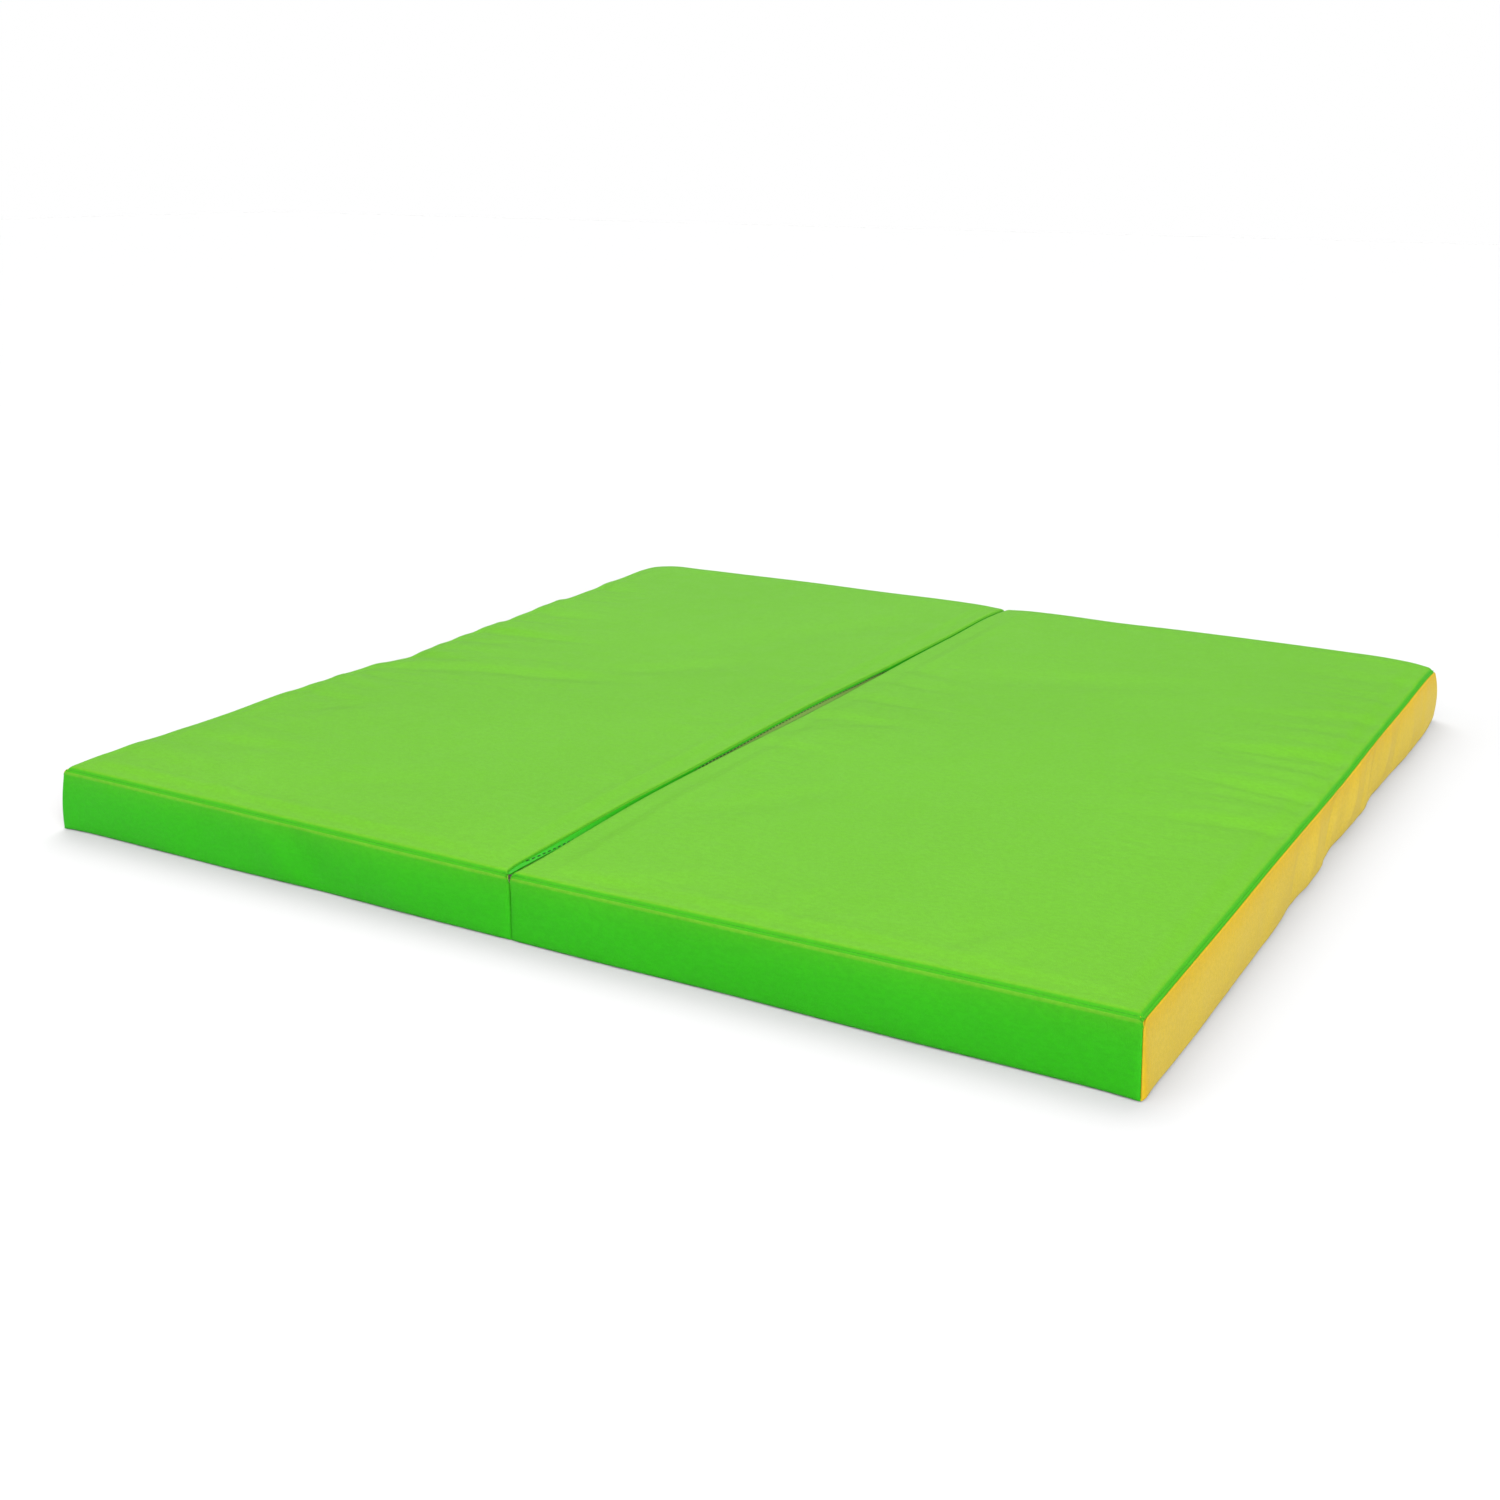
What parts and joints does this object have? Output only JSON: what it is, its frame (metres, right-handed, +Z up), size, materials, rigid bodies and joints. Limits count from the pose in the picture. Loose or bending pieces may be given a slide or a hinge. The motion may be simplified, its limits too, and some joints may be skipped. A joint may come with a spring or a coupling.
{
  "type": "folding foam gym mat",
  "caption": "Bi-fold foam tumbling mat: zipped vinyl covers over foam panels, joined by a hinge strip across the underside of the fold.",
  "frame": {"origin": "on the floor, at the centre of the open mat's footprint", "axes": "+Z up, out of the top sheets; +Y along the fold from the front band to the back band; +X across the fold from the left panel to the right panel"},
  "size_m": [1, 1, 0.056],
  "materials": {
    "lime_vinyl": "lime green vinyl, fine embossed grain, satin",
    "green_vinyl": "deep green vinyl, fine embossed grain, satin",
    "yellow_vinyl": "warm yellow vinyl, fine embossed grain, satin",
    "foam": "open-cell polyurethane foam",
    "zip_tape": "woven polyester tape, grey-tan",
    "zip_teeth": "moulded plastic, dark grey",
    "zip_metal": "die-cast zinc, dark nickel",
    "thread": "bonded polyester thread, green"
  },
  "bodies": {
    "left_panel": {"left_foam_core": "foam", "left_top_sheet": "lime_vinyl", "left_bottom_sheet": "yellow_vinyl", "left_front_band": "green_vinyl", "left_back_band": "green_vinyl", "left_side_band": "yellow_vinyl", "left_fold_band": "green_vinyl", "left_zip_facing": "green_vinyl", "left_upper_zip_tape": "zip_tape", "left_lower_zip_tape": "zip_tape", "left_upper_zip_teeth": "zip_teeth", "left_lower_zip_teeth": "zip_teeth", "left_zip_stops": "zip_teeth", "left_top_seam_thread": "thread", "left_bottom_seam_thread": "thread", "left_hinge_thread": "thread", "hinge_strip": "yellow_vinyl"},
    "left_slider": {"left_zip_slider": "zip_metal"},
    "left_pull": {"left_zip_pull": "zip_metal"},
    "right_panel": {"right_foam_core": "foam", "right_top_sheet": "lime_vinyl", "right_bottom_sheet": "yellow_vinyl", "right_front_band": "green_vinyl", "right_back_band": "green_vinyl", "right_side_band": "yellow_vinyl", "right_fold_band": "green_vinyl", "right_zip_facing": "green_vinyl", "right_upper_zip_tape": "zip_tape", "right_lower_zip_tape": "zip_tape", "right_upper_zip_teeth": "zip_teeth", "right_lower_zip_teeth": "zip_teeth", "right_zip_stops": "zip_teeth", "right_top_seam_thread": "thread", "right_bottom_seam_thread": "thread", "right_hinge_thread": "thread"},
    "right_slider": {"right_zip_slider": "zip_metal"},
    "right_pull": {"right_zip_pull": "zip_metal"}
  },
  "joints": [
    {"name": "fold", "type": "hinge", "parent": "left_panel", "child": "right_panel", "pos_m": [0, 0, -0.0002], "axis": [0, 1, 0], "range_deg": [0, 180], "deforming": ["hinge_strip"]},
    {"name": "left_zip_slide", "type": "slide", "parent": "left_panel", "child": "left_slider", "axis": [0, -1, 0], "range_m": [0, 0.9104]},
    {"name": "left_pull_swing", "type": "hinge", "parent": "left_slider", "child": "left_pull", "pos_m": [-0.0037, 0.4552, 0.0492], "axis": [0, 0, 1], "range_deg": [0, 7]},
    {"name": "right_zip_slide", "type": "slide", "parent": "right_panel", "child": "right_slider", "axis": [0, -1, 0], "range_m": [0, 0.9104]},
    {"name": "right_pull_swing", "type": "hinge", "parent": "right_slider", "child": "right_pull", "pos_m": [0.0037, 0.4552, 0.0492], "axis": [0, 0, -1], "range_deg": [0, 7]}
  ]
}
